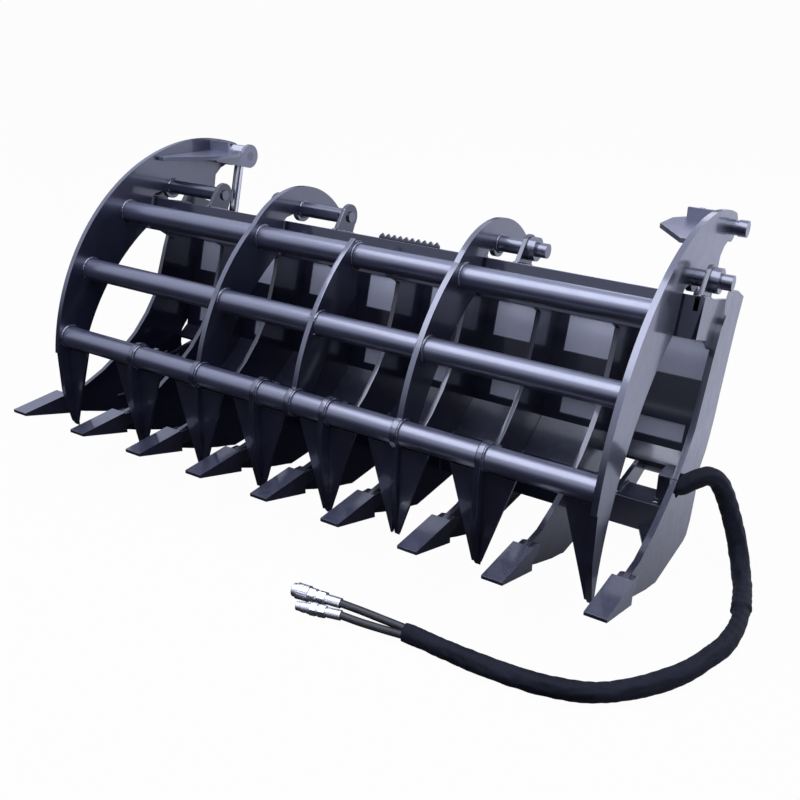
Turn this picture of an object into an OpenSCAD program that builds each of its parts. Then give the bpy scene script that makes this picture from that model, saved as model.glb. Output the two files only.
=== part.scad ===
// Grass fork grapple: nine curved tines on a welded frame, and a clamp of five
// arched plates that two hydraulic cylinders open about a hinge on the top beam.
// X is across the machine, Y runs back towards the carrier, Z is up.
// The side shapes are drawn in a (y, z) plane whose z = 0 is the ground under the heels.

/* [Frame] */
// Width over the two end tines
overall_w = 1829; // [1780:1:2000]
// Distance of the last inner tine from the machine's side
end_bay = 251.5; // [238:0.5:268]
// Thickness of a tine plate
tine_t = 15; // [10:1:20]
// Width and height of the top beam's square tube
beam_size = 100; // [96:1:104]
// Wall of both beams
beam_wall = 8; // [4:1:12]
// Forward and downward tilt of the top beam
beam_tilt = 20; // [19:0.5:21]
// Depth of the lower beam, front to back
lower_beam_d = 80; // [60:1:90]
// Height of the lower beam
lower_beam_h = 85; // [70:1:95]
// Lean of the back sheet from the vertical
back_lean = 17; // [16:0.5:18]
// Thickness of the back sheet
sheet_t = 6; // [4:1:8]
// Thickness of the frame plate round the back windows
panel_t = 5; // [3:1:8]
// Margin between an upper window and the tine beside it
window_margin = 28; // [15:1:45]
// Margin between a lower window and the tine beside it
low_window_margin = 50; // [30:1:60]
// Thickness of the sloping ledge between the back sheet and the lower beam
ledge_t = 8; // [6:1:12]

/* [Teeth] */
// Width of a tooth
tooth_w = 53; // [40:1:70]
// Length of a tooth from its tip to the tine's nose
tooth_len = 162; // [140:1:180]
// Height of a tooth at its root
tooth_h = 66; // [56:1:72]
// Height of a tooth's edge at its tip
tooth_tip_h = 9; // [4:1:14]
// Thickness of each cheek that holds a tooth to its tine
cheek_t = 12; // [8:1:16]
// Length of a cheek along its tine
cheek_len = 58; // [40:1:70]

/* [Hinge] */
// Diameter of the hinge pins
pin_d = 30; // [24:1:34]
// Outer diameter of the hinge sleeves
sleeve_d = 42; // [40:1:48]
// Length of the two long hinge sleeves on the left
sleeve_len = 241; // [200:1:250]
// Length of the short sleeve by the right inner clamp plate
short_sleeve_len = 116; // [100:1:124]
// Length of the short sleeve at the right end
end_sleeve_len = 57; // [50:1:70]
// Distance of the inner hinge stations from their clamp plates
inner_station_step = 38.5; // [25:0.5:45]
// Distance of the outer hinge stations from the machine's sides
outer_station_inset = 159.5; // [156:0.5:163]
// Thickness of a hinge ear
ear_t = 12; // [8:1:16]
// Radius of a hinge ear's round top
ear_r = 36; // [34:1:40]
// Collar on the outer end of a hinge pin: diameter
collar_d = 62; // [50:1:66]
// Length of that collar
collar_len = 22; // [12:1:26]
// Head of a hinge pin: diameter
pin_head_d = 38; // [34:1:46]
// Length of a pin head
pin_head_len = 28; // [16:1:32]

/* [Clamp] */
// Thickness of a clamp plate
clamp_t = 15; // [10:1:20]
// Distance of the outer clamp plates from the machine's sides
clamp_inset = 72.5; // [68:0.5:76]
// Distance of the inner clamp plates from the middle of their bay
inner_clamp_step = 10; // [0:1:30]
// Outer diameter of the clamp tubes
clamp_tube_d = 63.5; // [56:0.5:70]
// Wall of the clamp tubes
clamp_tube_wall = 6; // [3:1:10]
// Radius of the round web that wraps a tube
web_ring_r = 40; // [38:1:46]
// Thickness of the wing plates on the claws
wing_t = 10; // [6:1:14]
// Reach of a wing from the middle of its claw
wing_w = 86; // [60:1:96]
// Radius of the hook end that carries the rod pin
hook_r = 38; // [34:1:42]
// Thickness of the plates of the hook bracket
bracket_t = 12; // [8:1:14]
// Distance of the bracket's inner ear from its clamp plate
bracket_ear_reach = 80; // [78:1:84]
// Reach of the bracket's top plate from its clamp plate
bracket_plate_reach = 122; // [102:1:142]
// Height of the stiffener on the top plate
stiffener_h = 32; // [20:1:36]

/* [Cylinders] */
// Distance of each cylinder from the machine's sides
cylinder_inset = 114.5; // [112:0.5:116]
// Outer diameter of the barrel
barrel_d = 70; // [60:1:72]
// Bore of the barrel
barrel_bore = 56; // [48:1:58]
// Length of the barrel from its base pin
barrel_len = 352; // [340:1:370]
// Length of the gland that closes the barrel
gland_len = 28; // [20:1:34]
// Diameter of the gland
gland_d = 74; // [72:1:76]
// Diameter of the rod
rod_d = 30; // [22:1:36]
// Outer diameter of the eye at the rod's end
rod_eye_d = 64; // [60:1:66]
// Bore of that eye, larger than its pin
rod_eye_bore = 46; // [46:1:50]
// Width of the rod's eye
rod_eye_w = 56; // [40:1:58]
// Outer diameter of the eye at the barrel's base
base_eye_d = 62; // [56:1:66]
// Thickness of the lugs that hold the base pin
lug_t = 12; // [8:1:16]
// Distance between the two lugs of a cylinder
lug_gap = 92; // [86:1:96]
// Radius of the lugs' round ends
lug_r = 34; // [30:1:38]

/* [Quick attach plate] */
// Width of the plate that the carrier holds
attach_w = 1143; // [1100:1:1160]
// Thickness of that plate
attach_t = 10; // [6:1:13]
// Height of the plate along its lean
attach_h = 470; // [440:1:480]
// Depth of the lip that hooks over the carrier
attach_lip = 38; // [25:1:50]
// Width of each slot for a locking pin
attach_slot_w = 60; // [45:1:70]
// Distance of the slots from the middle
attach_slot_x = 470; // [440:1:500]
// Depth of the foot behind the plate
attach_foot = 45; // [36:1:60]
// Depth of each slot
attach_slot_d = 25; // [16:1:28]

/* [Step strip] */
// Length of the serrated strip on the top beam
strip_len = 190; // [120:1:260]
// Number of its teeth
strip_teeth = 10; // [6:1:14]
// Height of its teeth
strip_h = 10; // [6:1:14]

/* [Hoses] */
// Diameter of the fabric sleeve round both hoses
hose_sleeve_d = 46; // [40:1:46]
// Diameter of one hose
hose_d = 19; // [14:1:20]
// Side of the block that the hoses leave
block_size = 66; // [60:1:70]

/* [Hidden] */
$fn = 64;
// Running clearance of a pin in its hole, on the radius
running = 0.08;
// Clearance round a tube that is welded into its hole, on the radius
weld_gap = 0.1;
// Gap between a turning face and the face beside it
side_gap = 0.5;

// Side view places, y and z
hinge = [468, 708];
beam_centre = [414, 628];
lower_beam_front = 345;
lower_beam_bottom = 55;
nose_y = -18;
tooth_top_z = 161;
cylinder_base = [570, 140];
hook = [758, 760];
tube_bottom = [-14, 358];
tube_middle = [100, 536];
tube_top = [275.5, 671];
sheet_point = [562, 260];
sheet_top_z = 594;
sheet_end_top_z = 550;
ledge_top_z = 207;
// Front of the ledge in the end bays, behind the lugs
ledge_short_y = 490;
hose_hole = [322, 228];
hose_hole_r = 31;
claw_tip = [-32, 72];
// Place on the inside of the clamp's arch behind the middle tube
inner_crown = [157.6, 480.4];

// Corners and lines that follow
beam_half = beam_size / 2;
function beam_point(u, v) = [
    beam_centre[0] + u * cos(beam_tilt) + v * sin(beam_tilt),
    beam_centre[1] - u * sin(beam_tilt) + v * cos(beam_tilt)
];
function sheet_rear(z) = sheet_point[0] + (z - sheet_point[1]) * tan(back_lean);
function sheet_front(z) = sheet_rear(z) - sheet_t / cos(back_lean);
function panel_front(z) = sheet_front(z) - panel_t / cos(back_lean);
tine_pitch = (overall_w / 2 - end_bay) / 3;
inner_clamp_x = 1.5 * tine_pitch - inner_clamp_step;
inner_station_x = inner_clamp_x - inner_station_step;
outer_station_x = overall_w / 2 - outer_station_inset;
clamp_end_x = overall_w / 2 - clamp_inset;
cylinder_x = overall_w / 2 - cylinder_inset;
bracket_ear_x = clamp_end_x - bracket_ear_reach;
bracket_plate_x = clamp_end_x - bracket_plate_reach;
// The back sheet is low from here to the sides, behind the clamp's sweep
low_sheet_w = 242.5;
sheet_end_x = overall_w / 2 - low_sheet_w;
end_tine_x = overall_w / 2 - tine_t / 2;
end_inner_x = overall_w / 2 - tine_t;
lower_beam_rear = lower_beam_front + lower_beam_d;
lower_beam_top = lower_beam_bottom + lower_beam_h;
beam_end_x = outer_station_x + sleeve_len / 2 + side_gap;
clamp_end_inner = clamp_end_x - clamp_t / 2;
clamp_end_outer = clamp_end_x + clamp_t / 2;
tooth_tip_y = nose_y - tooth_len;
centre_y = (tooth_tip_y + hook[0] + hook_r) / 2;
rod_vector = hook - cylinder_base;
rod_reach = norm(rod_vector);
rod_lean = atan2(rod_vector[0], rod_vector[1]);
inner_claw_x = tine_pitch / 2;
outer_claw_x = 2.5 * tine_pitch;
web_claws = [-outer_claw_x, -inner_claw_x, inner_claw_x, outer_claw_x];
clamp_plates = [-clamp_end_x, -inner_clamp_x, 0, inner_clamp_x, clamp_end_x];
// Hinge stations: the middle of each sleeve and its length
stations = [
    [-outer_station_x, sleeve_len],
    [-inner_station_x, sleeve_len],
    [inner_station_x + (sleeve_len - short_sleeve_len) / 2, short_sleeve_len],
    [outer_station_x + (sleeve_len - end_sleeve_len) / 2, end_sleeve_len]
];
tube_span = 2 * clamp_end_inner;

// Circles of the clamp plates
outer_arc = [546, 218];
outer_arc_r = norm(hook - outer_arc) + hook_r;
inner_arc_r = 644;
inner_arc = inner_crown + inner_arc_r * [cos(45), -sin(45)];
front_arc = [521, 218];
front_arc_r = 568;
lobe_arc = [423, 501];
lobe_arc_r = 278;
lobe_join_y = 245;
// The centre plate's front lies this far behind the inner plates' front
centre_set_back = 4;

// Routes of the sleeve and hoses, as middle lines. Their x counts from the machine's right side
sleeve_route = [
    [-15, 322, 228], [3.5, 322, 229], [23.5, 329, 243], [42.5, 338.5, 254.5], [61.5, 350, 259],
    [78.5, 360, 248], [93.5, 368, 223], [107.5, 374, 190], [121.5, 377, 153], [135.5, 378, 115],
    [149.5, 373, 77], [163.5, 356, 47], [179.5, 322, 28], [195.5, 276, 24], [209.5, 215, 24],
    [221.5, 150, 24], [223.5, 92, 24], [216.5, 34, 24], [196.5, -25, 24],
    [170.5, -88, 24], [133.5, -148, 24], [89.5, -200, 24], [42.5, -240, 24], [-13.5, -268, 24],
    [-74.5, -285, 24], [-140.5, -294, 24], [-214.5, -297, 24], [-284.5, -295, 24],
    [-349.5, -292, 24], [-405.5, -292, 24]
];
hose_upper_route = [[-405.5, -280, 24], [-464.5, -278, 22], [-529.5, -277, 21], [-591.5, -279, 21]];
hose_lower_route = [[-405.5, -303, 24], [-459.5, -306, 20], [-514.5, -310, 18], [-567.5, -313, 18]];
coupler_upper_tip = [-721.5, -295, 21];
coupler_lower_tip = [-678.5, -338, 18];

// Names of every node

// Colours
paint = [0.10, 0.10, 0.17];
paint_light = [0.30, 0.31, 0.40];
chrome = [0.80, 0.80, 0.84];
zinc = [0.78, 0.78, 0.80];
rubber = [0.13, 0.13, 0.15];
cloth = [0.08, 0.09, 0.15];

// Puts a shape drawn in (y, z) across the machine, with its middle at x
module side_plate(x, thickness) {
    translate([x - thickness / 2, -centre_y, 0])
        rotate([90, 0, 90])
            linear_extrude(thickness)
                children();
}

// A cylinder along X through the place (y, z)
module cross_rod(x0, x1, place, r) {
    translate([min(x0, x1), place[0] - centre_y, place[1]])
        rotate([0, 90, 0])
            cylinder(h = abs(x1 - x0), r = r);
}

module circle_at(place, r) {
    translate(place)
        circle(r = r);
}

// Disc of one of the long arcs, fine enough to be true to its circle
module arc_disc(place, r) {
    translate(place)
        circle(r = r, $fn = 720);
}

function tine_x(i) =
    i == 1 ? -end_tine_x :
    i == 9 ? end_tine_x :
    (i - 5) * tine_pitch;

function is_end(i) = i == 1 || i == 9;

// Side shape of an inner tine
module inner_tine_shape() {
    polygon([
        [nose_y, 150], [70, 152], [150, 175], [230, 210], [300, 250], [360, 300], [405, 350],
        [440, 425], [472, 495], [484, 535], beam_point(beam_half, -beam_half),
        beam_point(beam_half, beam_half), [panel_front(sheet_top_z), sheet_top_z],
        [panel_front(ledge_top_z), ledge_top_z],
        [478, 160], [470, 120], [462, 40], [450, 5], [441, 0], [223, 0], [200, 9], [144, 28],
        [45, 70], [nose_y, 100]
    ]);
}

// Side shape of an end tine, which covers the ends of the back sheet
module end_tine_shape() {
    polygon([
        [nose_y, 150], [70, 152], [150, 175], [230, 210], [300, 250], [360, 300], [405, 350],
        [440, 425], [472, 495], [512, 572], [558, 608], [592, 644], [630, 638], [702, 601],
        [668, 536], [639, 461], [602, 364], [585, 311], [563, 261], [540, 223], [507, 193],
        [498, 152], [498, 113], [483, 43], [464, 7], [441, 0], [223, 0], [200, 9], [144, 28],
        [45, 70], [nose_y, 100]
    ]);
}

module lower_beam_shape() {
    translate([lower_beam_front, lower_beam_bottom])
        square([lower_beam_d, lower_beam_h]);
}

module tine(i) {
    color(paint)
        side_plate(tine_x(i), tine_t)
            if (is_end(i))
                difference() {
                    end_tine_shape();
                    if (i == 9) circle_at(hose_hole, hose_hole_r);
                }
            else
                difference() {
                    inner_tine_shape();
                    lower_beam_shape();
                }
}

// Wedge tooth with two cheeks that clasp the tine's nose
module tooth(i) {
    cheek_z = tooth_top_z - tooth_h + 16;
    color(paint) {
        side_plate(tine_x(i), tooth_w)
            polygon([
                [nose_y, tooth_top_z], [tooth_tip_y, tooth_top_z],
                [tooth_tip_y, tooth_top_z - tooth_tip_h], [nose_y, tooth_top_z - tooth_h]
            ]);
        for (side = [-1, 1])
            side_plate(tine_x(i) + side * (tine_t + cheek_t) / 2, cheek_t)
                polygon([
                    [nose_y, cheek_z], [nose_y, tooth_top_z - 8],
                    [nose_y + cheek_len * 0.6, tooth_top_z - 12],
                    [nose_y + cheek_len, tooth_top_z - 26], [nose_y + cheek_len * 0.7, cheek_z]
                ]);
    }
}

module top_beam() {
    color(paint)
        side_plate(0, 2 * beam_end_x)
            difference() {
                polygon([for (c = [[-1, -1], [1, -1], [1, 1], [-1, 1]])
                    beam_point(c[0] * beam_half, c[1] * beam_half)]);
                polygon([for (c = [[-1, -1], [1, -1], [1, 1], [-1, 1]])
                    beam_point(c[0] * (beam_half - beam_wall), c[1] * (beam_half - beam_wall))]);
            }
}

module lower_beam() {
    color(paint)
        side_plate(0, 2 * end_inner_x)
            difference() {
                lower_beam_shape();
                translate([lower_beam_front + beam_wall, lower_beam_bottom + beam_wall])
                    square([lower_beam_d - 2 * beam_wall, lower_beam_h - 2 * beam_wall]);
            }
}

// Section of the back sheet between two heights
module sheet_shape(z0, z1) {
    polygon([
        [sheet_front(z0), z0], [sheet_front(z1), z1], [sheet_rear(z1), z1], [sheet_rear(z0), z0]
    ]);
}

sheet_bottom_z = ledge_top_z - ledge_t - 2;

// One sheet across the back, lower behind the clamp's outer plates
module back_sheet() {
    color(paint_light) {
        side_plate(0, 2 * sheet_end_x)
            sheet_shape(sheet_bottom_z, sheet_top_z);
        for (side = [-1, 1])
            side_plate(side * (sheet_end_x + end_inner_x) / 2, end_inner_x - sheet_end_x)
                sheet_shape(sheet_bottom_z, sheet_end_top_z);
    }
}

// The two rows of windows: bottom and top, and the margin at each side
window_rows = [[227, 275, low_window_margin], [392, 492, window_margin]];

function bay_left(i) = i == 1 ? -end_inner_x : tine_x(i) + tine_t / 2;
function bay_right(i) = i == 8 ? end_inner_x : tine_x(i + 1) - tine_t / 2;
function bay_middle(i) = (bay_left(i) + bay_right(i)) / 2;
function bay_width(i) = bay_right(i) - bay_left(i);

module panel_shape(z0, z1) {
    polygon([
        [panel_front(z0), z0], [panel_front(z1), z1], [sheet_front(z1), z1], [sheet_front(z0), z0]
    ]);
}

// Plate in front of the sheet, with two rows of windows that show the sheet
module window_frame() {
    color(paint)
        difference() {
            union() {
                side_plate(0, 2 * sheet_end_x)
                    panel_shape(ledge_top_z, sheet_top_z);
                for (side = [-1, 1])
                    side_plate(side * (sheet_end_x + end_inner_x) / 2, end_inner_x - sheet_end_x)
                        panel_shape(ledge_top_z, sheet_end_top_z);
            }
            for (i = [1:8], row = window_rows)
                side_plate(bay_middle(i), bay_width(i) - 2 * row[2])
                    translate([0, row[0]])
                        square([hook[0], row[1] - row[0]]);
        }
}

// Sloping strips between the tines, from the foot of the back sheet to the lower beam
module ledge() {
    slope = atan2(ledge_top_z - lower_beam_top, panel_front(ledge_top_z) - lower_beam_rear);
    drop = ledge_t / cos(slope);
    color(paint)
        for (i = [1:8]) {
            front_y = i == 1 || i == 8 ? ledge_short_y : lower_beam_rear;
            front_z = ledge_top_z - (panel_front(ledge_top_z) - front_y) * tan(slope);
            side_plate(bay_middle(i), bay_width(i))
                polygon([
                    [front_y, front_z], [panel_front(ledge_top_z), ledge_top_z],
                    [sheet_front(ledge_top_z), ledge_top_z],
                    [sheet_front(ledge_top_z - drop), ledge_top_z - drop],
                    [front_y, front_z - drop]
                ]);
        }
}

// Carrier plate on the back of the sheet, with a top lip and a foot that has two slots
module quick_attach_plate() {
    up = [sin(back_lean), cos(back_lean)];
    back = [cos(back_lean), -sin(back_lean)];
    drop = 4;
    top = [sheet_rear(sheet_top_z - drop), sheet_top_z - drop] + weld_gap * back;
    foot = top - attach_h * up;
    lip_lean = 30;
    lip_root = attach_t + attach_lip * sin(lip_lean - back_lean) + 2;
    lip_tip = top + attach_t * back + attach_lip * [cos(lip_lean), -sin(lip_lean)];
    slot_start = attach_t + 8;
    slot_end = slot_start + attach_slot_d;
    color(paint)
        difference() {
            side_plate(0, attach_w)
                polygon([
                    top, top + attach_t * back, lip_tip, lip_tip - attach_t * up,
                    top + attach_t * back - lip_root * up,
                    foot + attach_t * back + attach_t * up,
                    foot + (attach_t + attach_foot) * back + attach_t * up,
                    foot + (attach_t + attach_foot) * back, foot
                ]);
            for (side = [-1, 1])
                side_plate(side * attach_slot_x, attach_slot_w)
                    polygon([
                        foot + slot_start * back - attach_t * up,
                        foot + slot_start * back + 2 * attach_t * up,
                        foot + slot_end * back + 2 * attach_t * up,
                        foot + slot_end * back - attach_t * up
                    ]);
        }
}

// Serrated strip that stands on the top beam's front edge
module step_strip() {
    tooth_step = strip_len / strip_teeth;
    base_h = 6;
    strip_t = 6;
    edge = beam_point(-beam_half, beam_half);
    color(paint)
        translate([0, edge[0] - centre_y, edge[1]])
            rotate([-beam_tilt, 0, 0])
                translate([0, strip_t + 2, 0])
                    rotate([90, 0, 0])
                        linear_extrude(strip_t)
                            polygon(concat(
                                [[strip_len, 0], [0, 0]],
                                [for (i = [0:strip_teeth - 1], s = [0, 1])
                                    s == 0 ? [i * tooth_step, base_h]
                                           : [(i + 0.5) * tooth_step, base_h + strip_h]],
                                [[strip_len, base_h]]
                            ));
}

// Ear of a hinge station: a foot on the beam and a round top about the hinge
module ear_shape(drop) {
    difference() {
        union() {
            circle_at(hinge, ear_r);
            polygon([
                beam_point(-beam_half + 16, beam_half), beam_point(beam_half, beam_half),
                hinge + ear_r * [cos(10), -sin(10)], hinge,
                hinge + ear_r * [-cos(50), sin(50)]
            ]);
            if (drop > 0)
                polygon([
                    beam_point(-2, beam_half), beam_point(beam_half, beam_half),
                    beam_point(beam_half, beam_half - drop), beam_point(-2, beam_half - drop)
                ]);
        }
        circle_at(hinge, pin_d / 2 + running);
    }
}

ear_drop = 34;

module pivot_ears() {
    color(paint)
        for (s = stations, side = [-1, 1]) {
            x = s[0] + side * ((s[1] + ear_t) / 2 + side_gap);
            side_plate(x, ear_t)
                ear_shape(abs(x) > beam_end_x ? ear_drop : 0);
        }
}

// Pins with a collar and a head on the outer end; the left inner pin has a thin cap
module pivot_pins() {
    pin_end = 6;
    cap_t = 8;
    color(paint_light)
        for (s = stations) {
            x = s[0];
            side = sign(x);
            reach = s[1] / 2 + side_gap + ear_t;
            cross_rod(x - side * (reach + pin_end), x + side * reach, hinge, pin_d / 2);
            if (x == -inner_station_x)
                cross_rod(x - reach - cap_t, x - reach, hinge, pin_d / 2 + cap_t);
            else {
                cross_rod(x + side * reach, x + side * (reach + collar_len), hinge, collar_d / 2);
                cross_rod(x + side * (reach + collar_len),
                          x + side * (reach + collar_len + pin_head_len), hinge, pin_head_d / 2);
            }
        }
}

// Plates that tie the beam's ends to the end tines
module end_gussets() {
    outer_face = beam_end_x + ear_t;
    color(paint)
        for (side = [-1, 1]) {
            side_plate(side * (outer_face + end_inner_x) / 2, end_inner_x - outer_face)
                polygon([
                    beam_point(-beam_half, -beam_half), beam_point(-beam_half, beam_half),
                    beam_point(beam_half, beam_half), [600, 622], [560, 575], [500, 520],
                    beam_point(beam_half, -beam_half)
                ]);
            side_plate(side * (beam_end_x + ear_t / 2), ear_t)
                polygon([
                    beam_point(-beam_half, -beam_half),
                    beam_point(-beam_half, beam_half - ear_drop - 1),
                    beam_point(beam_half, beam_half - ear_drop - 1),
                    beam_point(beam_half, -beam_half)
                ]);
        }
}

// Lugs on the lower beam that hold the cylinders' base pins
module cylinder_lugs() {
    color(paint)
        for (side = [-1, 1], way = [-1, 1])
            side_plate(side * cylinder_x + way * (lug_gap + lug_t) / 2, lug_t)
                difference() {
                    union() {
                        circle_at(cylinder_base, lug_r);
                        polygon([
                            [lower_beam_front + 12, lower_beam_top],
                            [lower_beam_front + 12, lower_beam_top + 12],
                            [cylinder_base[0] - 20, cylinder_base[1] + lug_r - 6],
                            cylinder_base, [cylinder_base[0] - 12, cylinder_base[1] - lug_r + 2],
                            [lower_beam_rear, lower_beam_bottom + 20],
                            [lower_beam_rear, lower_beam_top]
                        ]);
                    }
                    circle_at(cylinder_base, pin_d / 2 + running);
                }
}

module base_pins() {
    reach = lug_gap / 2 + lug_t;
    cap_t = 8;
    color(zinc)
        for (side = [-1, 1]) {
            cross_rod(side * cylinder_x - reach - cap_t, side * cylinder_x + reach + cap_t,
                      cylinder_base, pin_d / 2);
            for (way = [-1, 1])
                cross_rod(side * cylinder_x + way * reach, side * cylinder_x + way * (reach + cap_t),
                          cylinder_base, pin_d / 2 + 8);
        }
}

// Flat triangles in the corners between the end tines and the lower beam
module corner_gussets() {
    gusset_t = 10;
    color(paint_light)
        for (side = [-1, 1])
            translate([0, -centre_y, lower_beam_bottom + 6])
                linear_extrude(gusset_t)
                    polygon([
                        [side * end_inner_x, lower_beam_front],
                        [side * (end_inner_x - 80), lower_beam_front],
                        [side * end_inner_x, lower_beam_front - 160]
                    ]);
}

// Block on the right end tine that the two hoses leave
module hose_block() {
    block_t = 30;
    color(paint)
        side_plate(end_inner_x - block_t / 2, block_t)
            translate(hose_hole - [block_size / 2, block_size / 2])
                square([block_size, block_size]);
}

// Front edge of a claw, from the tube down to its tip
claw_front = [[-59, 322], [-60, 297], [-63, 200], [-58, 164], [-44, 91], claw_tip];
// Inside of the arch, kept within the inner circle, and round the beam
arch_inside = [
    [20, 72], [60, 300], [200, 480], [339, 590], [338, 602], [372, 696], [384, 703], hinge,
    [545, 663], [655, 650]
];

// The band between the outer shape and the inner circle
module arch_cut(back_edge) {
    intersection() {
        difference() {
            children();
            arc_disc(inner_arc, inner_arc_r);
        }
        polygon(concat([[-120, 322]], claw_front, arch_inside, back_edge, [[-120, 900]]));
    }
}

module end_clamp_shape() {
    arch_cut([[658, 669], [668, 707], [695, 725], [736, 734], hook, [775, 812], [775, 900]])
        arc_disc(outer_arc, outer_arc_r);
    circle_at(hook, hook_r);
    circle_at(hinge, ear_r);
}

module inner_clamp_shape() {
    arch_cut([[700, 650], [700, 900]])
        union() {
            intersection() {
                arc_disc(front_arc, front_arc_r);
                translate([lobe_join_y - 500, 0])
                    square([500, 900]);
            }
            intersection() {
                arc_disc(lobe_arc, lobe_arc_r);
                translate([lobe_join_y, 0])
                    square([500, 900]);
            }
        }
    circle_at(tube_bottom, web_ring_r);
    circle_at(hinge, ear_r);
}

module centre_clamp_shape() {
    intersection() {
        difference() {
            arc_disc(front_arc, front_arc_r - centre_set_back);
            arc_disc(inner_arc, inner_arc_r);
        }
        polygon([
            [-120, tube_bottom[1]], [60, tube_bottom[1]], [200, 480], [260, 560],
            [tube_top[0] - 10, tube_top[1] - 60], [tube_top[0] - 10, 900], [-120, 900]
        ]);
    }
    circle_at(tube_bottom, web_ring_r);
    circle_at(tube_top, web_ring_r);
}

module tube_holes() {
    for (place = [tube_bottom, tube_middle, tube_top])
        circle_at(place, clamp_tube_d / 2 + weld_gap);
}

module clamp_plate(i) {
    color(paint)
        side_plate(clamp_plates[i - 1], clamp_t)
            if (i == 3)
                difference() {
                    centre_clamp_shape();
                    tube_holes();
                }
            else if (i == 2 || i == 4)
                difference() {
                    inner_clamp_shape();
                    tube_holes();
                    circle_at(hinge, sleeve_d / 2 + weld_gap);
                }
            else
                difference() {
                    end_clamp_shape();
                    circle_at(hinge, sleeve_d / 2 + weld_gap);
                    circle_at(hook, pin_d / 2 + weld_gap);
                }
}

module clamp_tube(place) {
    color(paint_light)
        difference() {
            cross_rod(-tube_span / 2, tube_span / 2, place, clamp_tube_d / 2);
            cross_rod(-tube_span / 2 - 1, tube_span / 2 + 1, place,
                      clamp_tube_d / 2 - clamp_tube_wall);
        }
}

// Claw that hangs from the bottom tube between two clamp plates
module claw_web(i) {
    color(paint)
        side_plate(web_claws[i - 1], clamp_t)
            difference() {
                union() {
                    circle_at(tube_bottom, web_ring_r);
                    intersection() {
                        difference() {
                            polygon(concat([[-52, tube_bottom[1]]], claw_front,
                                [[20, 72], [60, 300], [58, tube_bottom[1]]]));
                            arc_disc(inner_arc, inner_arc_r);
                        }
                        translate([-120, 0])
                            square([300, tube_bottom[1]]);
                    }
                }
                circle_at(tube_bottom, clamp_tube_d / 2 + weld_gap);
            }
}

// Sloping wing plates on both sides of each claw
module claw_wings() {
    top = [tube_bottom[0] - 4, tube_bottom[1] - clamp_tube_d / 2 - 2];
    run = top - claw_tip - [0, 12];
    length = norm(run);
    lean = atan2(run[0], run[1]);
    claws = concat(web_claws, clamp_plates);
    color(paint_light)
        for (x = claws, side = [-1, 1])
            if (x != 0 && (abs(x) < clamp_end_x || side * x < 0))
                translate([x, top[0] - centre_y, top[1]])
                    rotate([-lean, 0, 0])
                        rotate([90, 0, 0])
                            linear_extrude(wing_t)
                                polygon([
                                    [side * clamp_t / 2, 0], [side * wing_w, 0],
                                    [side * (clamp_t / 2 + 4), -length],
                                    [side * clamp_t / 2, -length]
                                ]);
}

// Hinge sleeves; the two long ones have a flat bar along the front, from plate to ear
module pivot_sleeves() {
    bar_h = 18;
    bar_t = 6;
    bar_angle = 14;
    bar_margin = 12;
    color(paint)
        for (s = stations) {
            x = s[0];
            long = x < 0;
            plate_x = x == -outer_station_x ? -clamp_end_inner : -inner_clamp_x + clamp_t / 2;
            difference() {
                union() {
                    cross_rod(x - s[1] / 2, x + s[1] / 2, hinge, sleeve_d / 2);
                    if (long)
                        translate([plate_x, hinge[0] - centre_y, hinge[1]])
                            rotate([-bar_angle, 0, 0])
                                translate([0, -sleeve_d / 2 - bar_t + 1, -bar_h / 2])
                                    cube([x + s[1] / 2 - bar_margin - plate_x, bar_t, bar_h]);
                }
                cross_rod(x - s[1], x + s[1], hinge, pin_d / 2 + running);
            }
        }
}

// Bracket beside an end clamp plate: a pierced ear, a six-sided top plate and a stiffener
module hook_bracket(side) {
    slope = -5;
    front = [416, 812];
    plate_rear = 712;
    ear_front = 582;
    stiffener_y = 652;
    stiffener_t = 10;
    stiffener_w = bracket_ear_reach - clamp_t / 2 + bracket_t / 2;
    tip_w = 20;
    cut_w = 34;
    plate_mid = (bracket_plate_x + clamp_end_inner) / 2;
    plate_w = clamp_end_inner - bracket_plate_x;
    function top_z(y) = front[1] + (y - front[0]) * tan(slope);
    color(paint) {
        side_plate(side * bracket_ear_x, bracket_t)
            difference() {
                union() {
                    circle_at(hook, hook_r);
                    polygon([
                        [ear_front, top_z(ear_front) - bracket_t],
                        [plate_rear, top_z(plate_rear) - bracket_t],
                        hook + [-10, hook_r - 4], hook, hook + [-4, -hook_r],
                        [ear_front + 14, top_z(ear_front) - bracket_t - 14]
                    ]);
                }
                circle_at(hook, pin_d / 2 + weld_gap);
            }
        intersection() {
            side_plate(side * plate_mid, plate_w)
                polygon([
                    [front[0], top_z(front[0])], [plate_rear, top_z(plate_rear)],
                    [plate_rear, top_z(plate_rear) - bracket_t],
                    [front[0], top_z(front[0]) - bracket_t]
                ]);
            translate([0, -centre_y, 0])
                linear_extrude(2 * hook[1])
                    polygon([
                        [side * clamp_end_inner, front[0]],
                        [side * (clamp_end_inner - tip_w), front[0]],
                        [side * bracket_plate_x, 556], [side * bracket_plate_x, 656],
                        [side * (bracket_plate_x + cut_w), plate_rear],
                        [side * clamp_end_inner, plate_rear]
                    ]);
        }
        side_plate(side * (clamp_end_inner - stiffener_w / 2), stiffener_w)
            polygon([
                [stiffener_y, top_z(stiffener_y)],
                [stiffener_y + stiffener_t, top_z(stiffener_y + stiffener_t)],
                [stiffener_y + stiffener_t, top_z(stiffener_y + stiffener_t) + stiffener_h],
                [stiffener_y, top_z(stiffener_y) + stiffener_h]
            ]);
    }
}

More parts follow.
